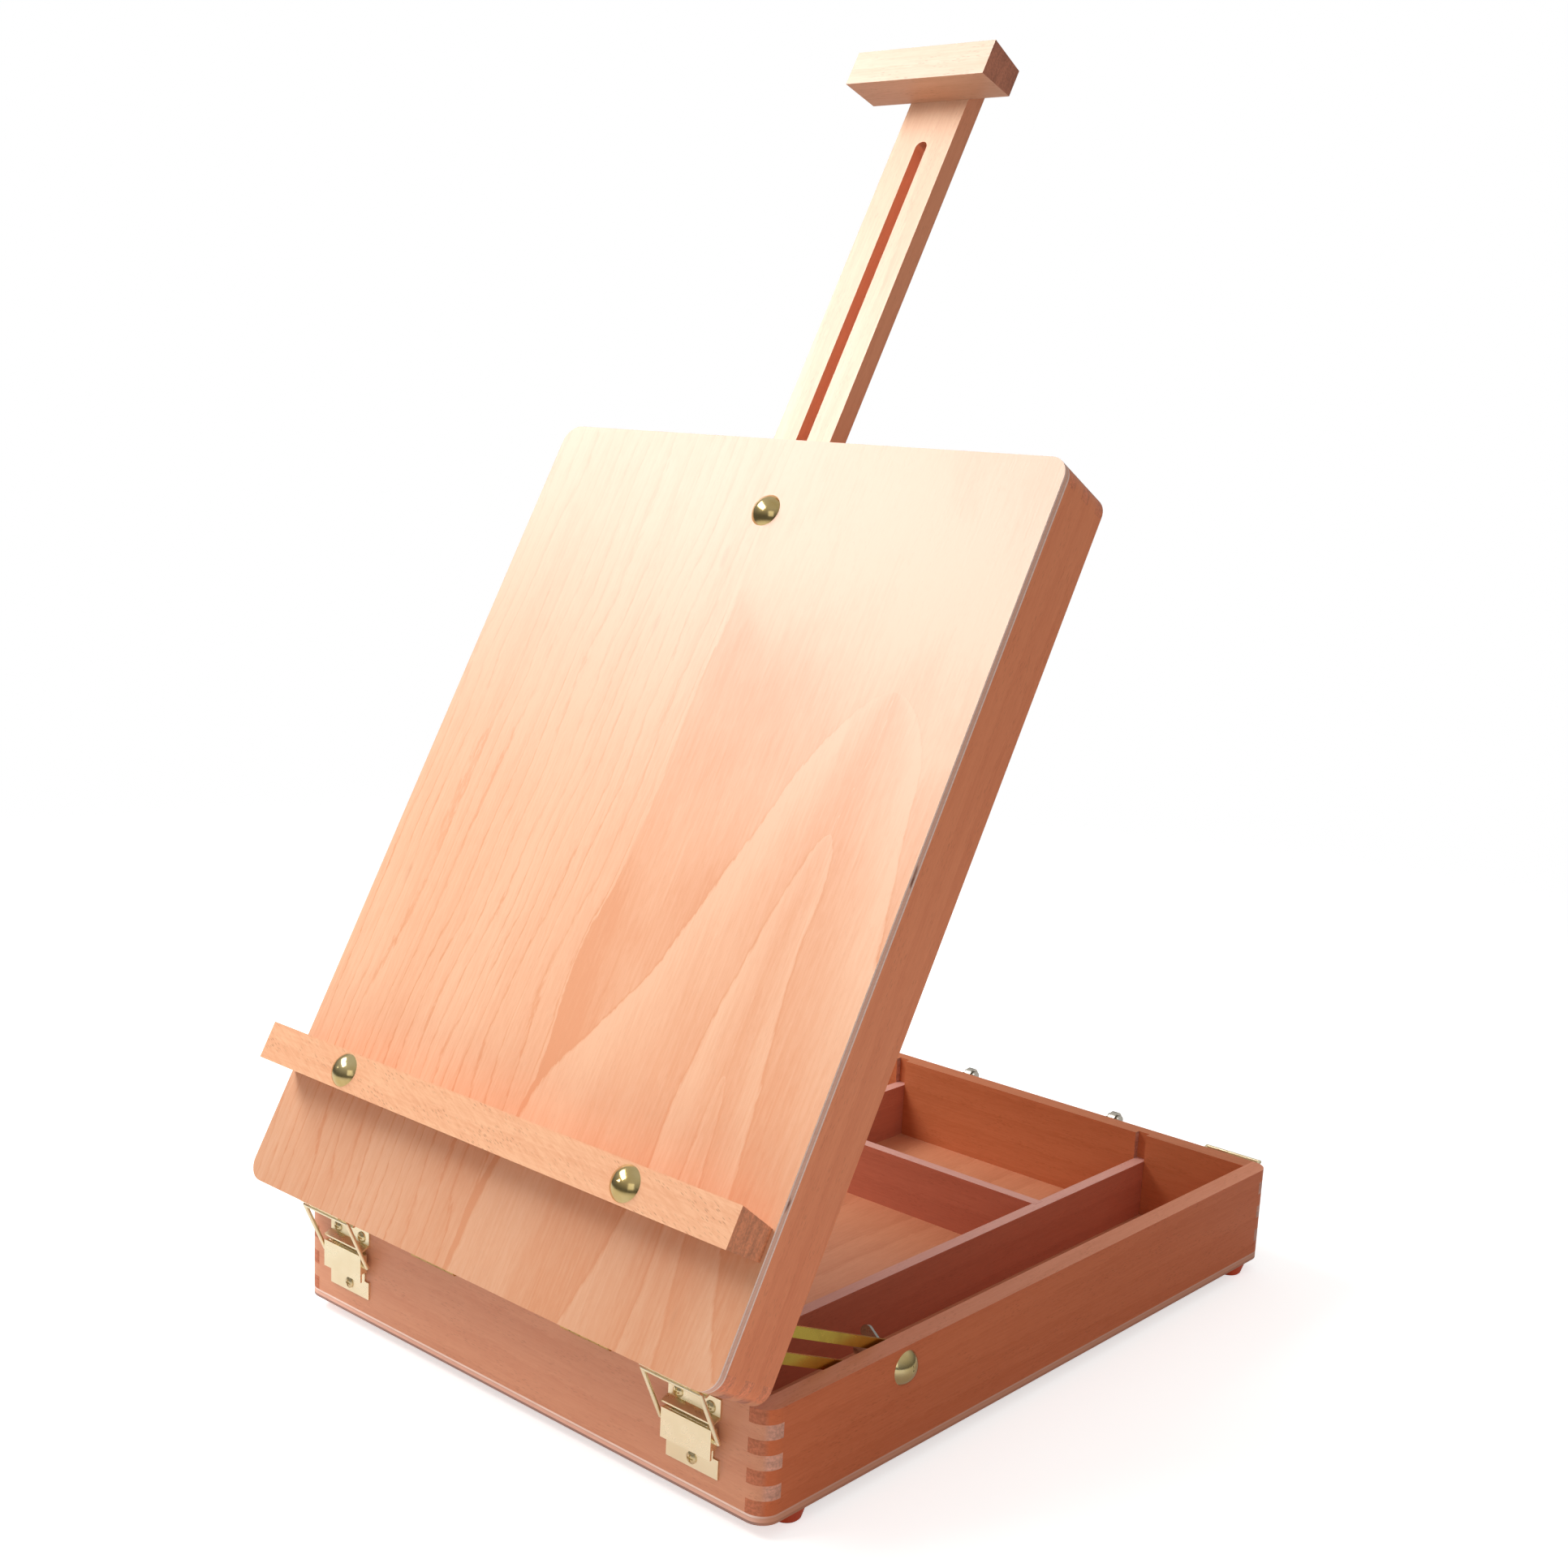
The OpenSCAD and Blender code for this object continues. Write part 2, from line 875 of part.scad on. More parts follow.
module handle_frame() {
    arm_t = 3;
    rod_r = 2.5;
    low = handle_pin_z - handle_drop;
    color(steel)
        on_base()
            difference() {
                union() {
                    for (side = [-1, 1])
                        translate([side * bracket_x, case_d, 0])
                            bar(handle_eye_w) {
                                translate([handle_pin_out, handle_pin_z])
                                    circle(handle_eye_r);
                                translate([handle_grip_out - arm_t / 2, low])
                                    square([arm_t, handle_drop]);
                                translate([handle_grip_out, low])
                                    circle(handle_eye_r - 0.5);
                            }
                    translate([-bracket_x, case_d + handle_grip_out, low])
                        rotate([0, 90, 0])
                            cylinder(r = rod_r, h = 2 * bracket_x);
                }
                translate([-case_w / 2, case_d + handle_pin_out, handle_pin_z])
                    rotate([0, 90, 0])
                        cylinder(r = handle_pin_r + running, h = case_w);
            }
}

module handle_grip() {
    grip_l = 2 * bracket_x - handle_eye_w - 0.4;
    edge = 1.5;
    color([0.25, 0.13, 0.08])
        on_base()
            translate([0, case_d + handle_grip_out, handle_pin_z - handle_drop])
                rotate([0, 90, 0])
                    difference() {
                        union() {
                            cylinder(r = handle_grip_r, h = grip_l - 2 * edge, center = true);
                            for (turn = [0, 180])
                                rotate([turn, 0, 0])
                                    translate([0, 0, grip_l / 2 - edge])
                                        cylinder(r1 = handle_grip_r, r2 = handle_grip_r - edge, h = edge);
                        }
                        cylinder(r = 2.5, h = grip_l + 2 * cut, center = true);
                    }
}

// ---- Lid ----

module lid_screw_cuts() {
    at_catch_screws() screw_hole(screw_l);
    at_leaf_screws()
        translate([0, 0, -cut])
            cylinder(r = screw_shank_r, h = small_l + cut + leaf_t);
}

module lid_panel() {
    color(pale_wood)
        on_lid()
            difference() {
                translate([0, 0, lid_wall_h])
                    linear_extrude(ply_t)
                        case_outline();
                at_ledge_bolts()
                    cylinder(r = bolt_r, h = lid_h + cut);
                at_mast_bolt()
                    cylinder(r = bolt_r, h = lid_h + cut);
            }
}

module lid_bottom_rail() {
    color(wood)
        on_lid()
            difference() {
                front_wall(lid_wall_h, lid_fingers, 1);
                for (side = [-1, 1])
                    translate([side * hinge_x - hinge_l / 2, -cut, -cut])
                        cube([hinge_l, leaf_depth + cut, leaf_t + cut]);
                lid_screw_cuts();
            }
}

module lid_top_rail() {
    slot_w = mast_w + 2 * mast_side_gap;
    color(wood)
        on_lid()
            difference() {
                to_back()
                    front_wall(lid_wall_h, lid_fingers, 1);
                translate([-slot_w / 2, case_d - wall_t - cut, mast_back_v - mast_gap])
                    cube([slot_w, wall_t + 2 * cut, lid_h]);
                lid_screw_cuts();
            }
}

module side_rail() {
    difference() {
        right_wall(lid_wall_h, lid_fingers, 0);
        translate([inner_x, stay_pivot_u, stay_pivot_v])
            rotate([0, 90, 0])
                cylinder(r = screw_shank_r, h = 6);
    }
}

module lid_right_rail() {
    color(wood)
        on_lid()
            side_rail();
}

module lid_left_rail() {
    color(wood)
        on_lid()
            flip_to_left()
                side_rail();
}

module lid_screws() {
    color(brass)
        on_lid() {
            at_catch_screws()
                wood_screw(small_head_r, small_head_h, screw_shank_r, screw_l);
            at_leaf_screws()
                translate([0, 0, small_head_h])
                    mirror([0, 0, 1])
                        wood_screw(small_head_r, small_head_h, screw_shank_r, small_l);
        }
}

// Trapezoid bar: square to the lid on one side, bevelled on the other
module canvas_bar(width, root_v, bevel_up) {
    bar(width)
        if (bevel_up)
            polygon([[0, root_v], [bar_h - bar_bevel, root_v], [bar_h, root_v + bar_depth], [0, root_v + bar_depth]]);
        else
            polygon([[bar_bevel, root_v], [bar_h, root_v], [bar_h, root_v + bar_depth], [0, root_v + bar_depth]]);
}

module canvas_ledge() {
    color(pale_wood)
        on_lid()
            difference() {
                translate([0, ledge_u, 0])
                    canvas_bar(ledge_w, lid_h, true);
                at_ledge_bolts()
                    cylinder(r = bolt_r, h = lid_h + bar_depth + cut);
            }
}

module ledge_bolts() {
    color(brass)
        on_lid()
            at_ledge_bolts()
                translate([0, 0, lid_h + bar_depth])
                    dome_bolt(bar_depth + ply_t + 15);
}

module mast_bolt() {
    color(brass)
        on_lid()
            at_mast_bolt()
                translate([0, 0, lid_h])
                    dome_bolt(ply_t + mast_t + 14);
}

module clamp_washers() {
    color(steel)
        on_lid() {
            at_ledge_bolts()
                translate([0, 0, lid_wall_h - washer_t])
                    washer();
            at_mast_bolt()
                translate([0, 0, mast_back_v - mast_gap - washer_t])
                    washer();
        }
}

module right_mast_guide() {
    color(wood)
        on_lid()
            translate([mast_w / 2 + mast_side_gap, guide_low_u, mast_back_v])
                cube([guide_w, case_d - wall_t - guide_low_u, lid_wall_h - mast_back_v]);
}

module left_mast_guide() {
    flip_to_left()
        right_mast_guide();
}

// Shouldered screw that each stay turns on, with its head inboard of the stay
module stay_pivot_screws() {
    head_t = 1.6;
    spacer = inner_x - stay_x - stay_t - 0.1;
    color(steel)
        on_lid()
            both_sides()
                translate([0, stay_pivot_u, stay_pivot_v])
                    rotate([0, 90, 0]) {
                        translate([0, 0, stay_x - head_t - 0.1])
                            cylinder(r = 5.5, h = head_t);
                        translate([0, 0, stay_x - 0.2])
                            cylinder(r = stay_pin_r, h = inner_x - stay_x + 0.2);
                        translate([0, 0, inner_x - spacer])
                            cylinder(r = 5.5, h = spacer);
                        translate([0, 0, inner_x - cut])
                            cylinder(r = screw_shank_r, h = 6 + cut);
                    }
}

// ---- Mast ----

module mast() {
    color(pale_wood)
        on_lid()
            difference() {
                translate([-mast_w / 2, mast_top_u - mast_l, mast_back_v])
                    cube([mast_w, mast_l, mast_t]);
                translate([-mast_slot_r, mast_slot_low_u, mast_back_v - cut])
                    cube([2 * mast_slot_r, mast_slot_high_u - mast_slot_low_u, mast_t + 2 * cut]);
                for (u = [mast_slot_low_u, mast_slot_high_u])
                    translate([0, u, mast_back_v - cut])
                        cylinder(r = mast_slot_r, h = mast_t + 2 * cut);
                at_clamp_screws()
                    cylinder(r = screw_shank_r, h = mast_t + 2 * cut);
            }
}

// Two screws up the mast's middle, driven from behind into the clamp block
module at_clamp_screws() {
    for (x = [-mast_w / 4, mast_w / 4])
        translate([x, mast_top_u - bar_h / 2, mast_back_v - cut])
            children();
}

module canvas_clamp() {
    color(pale_wood)
        on_lid()
            difference() {
                translate([0, mast_top_u - bar_h, 0])
                    canvas_bar(clamp_w, mast_front_v, false);
                at_clamp_screws()
                    cylinder(r = screw_shank_r, h = mast_t + cut + 12);
            }
}

module clamp_screws() {
    color(brass)
        on_lid()
            at_clamp_screws()
                translate([0, 0, cut])
                    mirror([0, 0, 1])
                        wood_screw(screw_head_r, screw_head_h, screw_shank_r, mast_t + 12);
}

// ---- Stays ----

module stay_plate() {
    slot_end = stay_reach + stay_slot_spare;
    translate([stay_t / 2, 0, 0])
        bar(stay_t)
            difference() {
                union() {
                    circle(stay_w / 2);
                    translate([0, -stay_w / 2])
                        square([slot_end, stay_w]);
                    translate([slot_end, 0])
                        circle(stay_w / 2);
                }
                circle(stay_pin_r + running);
                translate([stay_slot_start, -stay_slot_r])
                    square([slot_end - stay_slot_start, 2 * stay_slot_r]);
                for (y = [stay_slot_start, slot_end])
                    translate([y, 0])
                        circle(stay_slot_r);
            }
}

module right_stay() {
    color(zinc)
        on_stay_line()
            stay_plate();
}

module left_stay() {
    flip_to_left()
        right_stay();
}

// Threaded end of the stay bolt inside the case, with its washer
module right_stay_stud() {
    inboard = 13;
    color(steel)
        on_stay_line()
            translate([0, stay_reach, 0])
                rotate([0, 90, 0]) {
                    translate([0, 0, -inboard])
                        cylinder(r = bolt_r, h = inner_x - stay_x - 0.4 + inboard);
                    translate([0, 0, -0.1 - washer_t])
                        cylinder(r = washer_r, h = washer_t);
                }
}

module left_stay_stud() {
    flip_to_left()
        right_stay_stud();
}

module right_stay_nut() {
    color(steel)
        on_stay_line()
            translate([-0.2 - washer_t, stay_reach, 0])
                rotate([0, -90, 0])
                    rotate([0, 0, -5])
                        wing_nut();
}

module left_stay_nut() {
    flip_to_left()
        right_stay_nut();
}

// ---- Wing nuts inside the lid ----

module lid_nut(x, u, face_v, turn) {
    color(steel)
        on_lid()
            translate([x, u, face_v - 0.1])
                mirror([0, 0, 1])
                    rotate([0, 0, turn])
                        wing_nut();
}

module left_ledge_nut() { lid_nut(-ledge_bolt_span / 2, ledge_u + bar_h / 2, lid_wall_h - washer_t, 20); }
module right_ledge_nut() { lid_nut(ledge_bolt_span / 2, ledge_u + bar_h / 2, lid_wall_h - washer_t, 160); }
module mast_nut() { lid_nut(0, mast_bolt_u, mast_back_v - mast_gap - washer_t, 0); }

// ---- The parts, one name at a time ----

base_front_wall();
base_back_wall();
base_left_wall();
base_right_wall();
base_bottom();
long_divider();
cross_divider();
short_divider();
rubber_feet();
stay_bolts();
front_latch_plates();
back_latch_plates();
latch_pivot_pins();
base_screws();
hinge_base_leaves();
hinge_pins();
handle_brackets();
handle_pins();
lid_panel();
lid_bottom_rail();
lid_top_rail();
lid_left_rail();
lid_right_rail();
hinge_lid_leaves();
front_catches();
back_catches();
lid_screws();
canvas_ledge();
ledge_bolts();
mast_bolt();
clamp_washers();
left_mast_guide();
right_mast_guide();
stay_pivot_screws();
mast();
canvas_clamp();
clamp_screws();
left_stay();
right_stay();
left_stay_stud();
right_stay_stud();
left_stay_nut();
right_stay_nut();
left_ledge_nut();
right_ledge_nut();
mast_nut();
front_left_lever();
front_right_lever();
back_left_lever();
back_right_lever();
front_left_loop();
front_right_loop();
back_left_loop();
back_right_loop();
handle_frame();
handle_grip();
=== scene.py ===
"""Looks of the tabletop box easel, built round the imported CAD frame."""
import bpy
import math
from mathutils import Euler, Matrix, Vector

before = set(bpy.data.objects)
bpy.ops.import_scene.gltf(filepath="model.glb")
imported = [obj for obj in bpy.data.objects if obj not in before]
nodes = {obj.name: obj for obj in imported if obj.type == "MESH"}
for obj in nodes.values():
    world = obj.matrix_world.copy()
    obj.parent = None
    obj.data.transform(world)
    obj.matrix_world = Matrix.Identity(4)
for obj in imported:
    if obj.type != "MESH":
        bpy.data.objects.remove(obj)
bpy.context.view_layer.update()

# How far the lid stands open at rest
OPEN = math.radians(61)

# ---------------------------------------------------------------- camera
# Metres
CAMERA_AT = (0.62965, -0.76353, 0.44620)
CAMERA_RIGHT = Vector((0.73562, 0.67601, 0.04330))
CAMERA_DOWN = Vector((0.17406, -0.12686, -0.97653))
CAMERA_AHEAD = Vector((-0.65465, 0.72589, -0.21099))
# Millimetres
LENS = 47.5
SENSOR = 36
# Parts of the picture's width
CAMERA_SHIFT = (0.0305, 0.0346)


def make_camera():
    """The camera of the main view."""
    cam = bpy.data.objects.new("camera", bpy.data.cameras.new("camera"))
    bpy.context.scene.collection.objects.link(cam)
    turn = Matrix((CAMERA_RIGHT, -CAMERA_DOWN, -CAMERA_AHEAD)).transposed().to_4x4()
    cam.matrix_world = Matrix.Translation(CAMERA_AT) @ turn
    cam.data.sensor_width = SENSOR
    cam.data.lens = LENS
    cam.data.shift_x, cam.data.shift_y = CAMERA_SHIFT
    cam.data.clip_start = 0.02
    bpy.context.scene.camera = cam


make_camera()


# ---------------------------------------------------------------- node helpers
class Net:
    """A material's node tree, with short names for the nodes used here."""

    def __init__(self, name):
        self.mat = bpy.data.materials.new(name)
        self.mat.use_nodes = True
        self.t = self.mat.node_tree
        self.t.nodes.clear()
        self.out = self.add("ShaderNodeOutputMaterial")
        self.bsdf = self.add("ShaderNodeBsdfPrincipled")
        self.link(self.bsdf.outputs[0], self.out.inputs["Surface"])

    def add(self, kind, **props):
        """A new node of this kind."""
        n = self.t.nodes.new(kind)
        for k, v in props.items():
            setattr(n, k, v)
        return n

    def link(self, a, b):
        self.t.links.new(a, b)

    def put(self, socket, value):
        """Links a socket to the input, or sets the input's own value."""
        if isinstance(value, bpy.types.NodeSocket):
            self.link(value, socket)
        else:
            socket.default_value = value

    def coords(self, kind):
        """Object coordinates in metres, or the object's own Normal."""
        return self.add("ShaderNodeTexCoord").outputs[kind]

    def mapping(self, vec, loc=(0, 0, 0), rot=(0, 0, 0), scale=(1, 1, 1)):
        """The vector scaled, then turned, then moved."""
        n = self.add("ShaderNodeMapping")
        self.link(vec, n.inputs[0])
        n.inputs["Location"].default_value = loc
        n.inputs["Rotation"].default_value = rot
        n.inputs["Scale"].default_value = scale
        return n.outputs[0]

    def math(self, op, a, b=0.0, clamp=False):
        """One step of arithmetic on one or two values."""
        n = self.add("ShaderNodeMath", operation=op, use_clamp=clamp)
        self.put(n.inputs[0], a)
        self.put(n.inputs[1], b)
        return n.outputs[0]

    def noise(self, vec, scale, detail, rough=0.5, distort=0.0):
        """Soft random patches, from about 0.3 to 0.7."""
        n = self.add("ShaderNodeTexNoise")
        self.link(vec, n.inputs["Vector"])
        n.inputs["Scale"].default_value = scale
        n.inputs["Detail"].default_value = detail
        n.inputs["Roughness"].default_value = rough
        n.inputs["Distortion"].default_value = distort
        return n.outputs[0]

    def cells(self, vec):
        """Distance to the nearest of the scattered points, one to a unit."""
        n = self.add("ShaderNodeTexVoronoi")
        self.link(vec, n.inputs["Vector"])
        n.inputs["Scale"].default_value = 1.0
        n.inputs["Randomness"].default_value = 1.0
        return n.outputs["Distance"]

    def mix(self, fac, a, b, blend="MIX"):
        """Colour a where fac is 0, and b where it is 1, or a times b with MULTIPLY."""
        n = self.add("ShaderNodeMix", data_type="RGBA", blend_type=blend)
        self.put(n.inputs[0], fac)
        for i, colour in ((6, a), (7, b)):
            linked = isinstance(colour, bpy.types.NodeSocket)
            self.put(n.inputs[i], colour if linked else tuple(colour) + (1,))
        return n.outputs[2]

    def split(self, vec):
        """The x, y and z of a vector."""
        n = self.add("ShaderNodeSeparateXYZ")
        self.link(vec, n.inputs[0])
        return n.outputs

    def range(self, v, a, b, c=0.0, d=1.0, smooth=False):
        """Maps a value from a-b to c-d, and holds it there outside."""
        n = self.add("ShaderNodeMapRange")
        if smooth:
            n.interpolation_type = "SMOOTHSTEP"
        for i, x in enumerate((v, a, b, c, d)):
            self.put(n.inputs[i], x)
        return n.outputs[0]

    def bump(self, height, strength, distance):
        """Relief on the surface, with its depth in metres."""
        n = self.add("ShaderNodeBump")
        n.inputs["Strength"].default_value = strength
        n.inputs["Distance"].default_value = distance
        self.link(height, n.inputs["Height"])
        self.link(n.outputs[0], self.bsdf.inputs["Normal"])

    def set(self, **vals):
        """Sets the shader's inputs by name, with _ for a space."""
        for k, v in vals.items():
            s = self.bsdf.inputs[k.replace("_", " ")]
            if isinstance(v, tuple) and len(v) == 3:
                v = v + (1,)
            self.put(s, v)


def srgb(r, g, b):
    """A colour from 0-255 screen values."""
    def lin(c):
        c /= 255
        return c / 12.92 if c <= 0.04045 else ((c + 0.055) / 1.055) ** 2.4
    return lin(r), lin(g), lin(b)


def shade(c, k):
    """A colour made k times as bright."""
    return tuple(min(1.0, x * k) for x in c)


# Turns object coordinates into lid coordinates: y up the lid, z out of its face
LID = (-OPEN, 0, 0)
CASE = (0, 0, 0)
# Turns a board so that x runs along its grain
GRAIN = {"x": (0, 0, 0), "y": (0, 0, -math.pi / 2)}


def board_space(n, space, grain):
    """Metres with x along the grain, and how far the surface faces along the grain and along z."""
    vec = n.mapping(n.mapping(n.coords("Object"), rot=space), rot=GRAIN[grain])
    facing = n.split(n.mapping(n.mapping(n.coords("Normal"), rot=space), rot=GRAIN[grain]))
    end = n.math("ABSOLUTE", facing[0])
    flat = n.math("ABSOLUTE", facing[2])
    return vec, n.range(end, 0.6, 0.8), n.range(flat, 0.6, 0.8)


# Colour that the dark marks in the wood lean to
SOOT = (0.14, 0.04, 0.01)


def beech(n, surface, tone, light, dark, fleck, end, gloss=0.45, coat=0.0, tilt=0.0, figure=0.08,
          relief=0.18, flat_tint=None, ray=4.2):
    """Finishes a wood from its growth tone: mottling, fibres, ray flecks, end grain, varnish, and
    painted light on faces that look up or out.
    """
    vec, is_end, is_flat = surface

    # Mottling, fibres and short wavy figure round the growth tone
    broad = n.noise(n.mapping(vec, scale=(3.5, 22, 22)), 1.0, 3.0, 0.55, 0.3)
    fibre = n.noise(n.mapping(vec, scale=(28, 1000, 1000)), 1.0, 3.0, 0.6)
    slant = n.mapping(vec, rot=(0, 0, tilt))
    curl = n.noise(n.mapping(slant, scale=(110, 110 * ray, 110 * ray)), 1.0, 2.0, 0.5, 0.8)
    mixed = n.math("ADD", tone, n.range(broad, 0.3, 0.7, -0.2, 0.2))
    mixed = n.math("ADD", mixed, n.range(fibre, 0.3, 0.7, -0.16, 0.16))
    mixed = n.math("ADD", mixed, n.range(curl, 0.35, 0.65, -figure, figure), clamp=True)
    colour = n.mix(mixed, dark, light)
    if flat_tint:
        # Painted light: faces that look up, out of the lid or out of the case are made paler, as if
        # lit from above
        colour = n.mix(is_flat, colour, flat_tint, "MULTIPLY")

    # Ray flecks in patches, and a few larger spots
    cell = n.cells(n.mapping(slant, scale=(240, 1300, 1300)))
    dash = n.range(cell, 0.14, 0.36, 1.0, 0.0, smooth=True)
    keep = n.range(n.noise(n.mapping(vec, scale=(40, 160, 160)), 1.0, 2.0), 0.42, 0.62)
    mark = n.math("MULTIPLY", n.math("MULTIPLY", dash, keep), fleck)
    soot = n.mix(0.6, dark, SOOT)
    colour = n.mix(mark, colour, soot)
    knot = n.cells(n.mapping(vec, scale=(9, 30, 30)))
    spot = n.range(knot, 0.03, 0.065, 1.0, 0.0, smooth=True)
    colour = n.mix(n.math("MULTIPLY", spot, min(1.0, fleck * 1.6)), colour, soot)

    # End grain
    rings = n.noise(n.mapping(vec, scale=(60, 60, 420)), 1.0, 3.0, 0.6, 0.5)
    pores = n.noise(n.mapping(vec, scale=(900, 900, 900)), 1.0, 2.0)
    ends = n.math("ADD", n.range(rings, 0.35, 0.65, 0.0, 0.6),
                  n.range(pores, 0.4, 0.6, 0.0, 0.4))
    if isinstance(end, tuple):
        end = n.mix(ends, shade(end, 0.72), shade(end, 1.2))
    colour = n.mix(is_end, colour, end)

    n.set(Base_Color=colour, Roughness=n.range(mixed, 0.0, 1.0, 0.47, 0.37),
          Coat_Weight=coat, Coat_Roughness=0.3, IOR=1.45, Specular_IOR_Level=gloss)
    height = n.math("SUBTRACT", n.math("ADD", fibre, n.math("MULTIPLY", curl, 0.6)),
                    n.math("MULTIPLY", mark, 0.9))
    # The relief is given in millimetres
    n.bump(height, 0.25, relief / 1000)
    return n.mat


def growth_lines(n, g, vec, depth=0.42):
    """Growth bands from a field g: each darkens slowly, then steps back along a ragged line."""
    jag = n.noise(n.mapping(vec, scale=(90, 700, 700)), 1.0, 2.0, 0.6)
    g = n.math("ADD", g, n.range(jag, 0.3, 0.7, -0.1, 0.1))
    f = n.math("FRACT", g)
    slow = n.math("POWER", f, 1.6)
    step = n.range(f, 0.95, 1.0)
    tone = n.math("SUBTRACT", 0.78, n.math("MULTIPLY", slow, depth))
    return n.math("ADD", tone, n.math("MULTIPLY", step, depth * 0.25))


# Growth bands in a metre of a board's width
PITCH = 55.0


def wood(name, light, dark, space, grain, seed, fleck=0.3, end=None, depth=0.42, **finish):
    """Varnished beech board with quiet growth bands along its grain."""
    n = Net(name)
    vec, is_end, is_flat = board_space(n, space, grain)
    # Each board is cut from another part of the tree
    base = n.mapping(vec, loc=(seed * 1.7, seed * 0.93, seed * 2.31))
    at = n.split(base)
    warp = n.noise(n.mapping(base, scale=(2.5, 14, 14)), 1.0, 2.0)
    across = n.math("ADD", n.math("MULTIPLY", at[1], PITCH), n.math("MULTIPLY", at[2], PITCH * 1.3))
    g = n.math("ADD", across, n.math("MULTIPLY", warp, 2.6))
    tone = growth_lines(n, g, base, depth=depth)
    return beech(n, (base, is_end, is_flat), tone, light, dark, fleck,
                 end or shade(dark, 0.7), **finish)


def ply_edge(n, z, low, high, face, core, glue):
    """Plywood edge: two pale face veneers round a darker core, with thin glue lines and gaps."""
    t = n.range(z, low, high)
    inner = n.math("ABSOLUTE", n.math("SUBTRACT", t, 0.5))
    where = n.coords("Object")
    streak = n.noise(n.mapping(where, scale=(160, 160, 1400)), 1.0, 3.0, 0.6)
    gap = n.range(n.noise(n.mapping(where, scale=(45, 45, 45)), 1.0, 2.0), 0.66, 0.7)
    colour = n.mix(n.range(inner, 0.22, 0.27), core, face)
    joint = n.math("ABSOLUTE", n.math("SUBTRACT", inner, 0.24))
    colour = n.mix(n.range(joint, 0.015, 0.05, 0.5, 0.0), colour, glue)
    colour = n.mix(n.range(streak, 0.35, 0.65, 0.0, 0.25), colour, shade(core, 0.7))
    return n.mix(n.math("MULTIPLY", gap, n.range(inner, 0.2, 0.12)), colour, shade(glue, 0.5))


def z_span(node, turn):
    """Lowest and highest z of a node's points, after the turn."""
    zs = [(turn @ v.co).z for v in nodes[node].data.vertices]
    return min(zs), max(zs)


# Figure of the lid's veneer, in millimetres across and up the panel
FLAME_X = 103
# Where the heart ends and the straight lines begin
HEART_EDGE = 3
LINE_PITCH = 9.0
# Each flame: the height of its tip, and how fast it widens below the tip
FLAMES = ((288, 5.0), (223, 1.9), (116, 0.9))


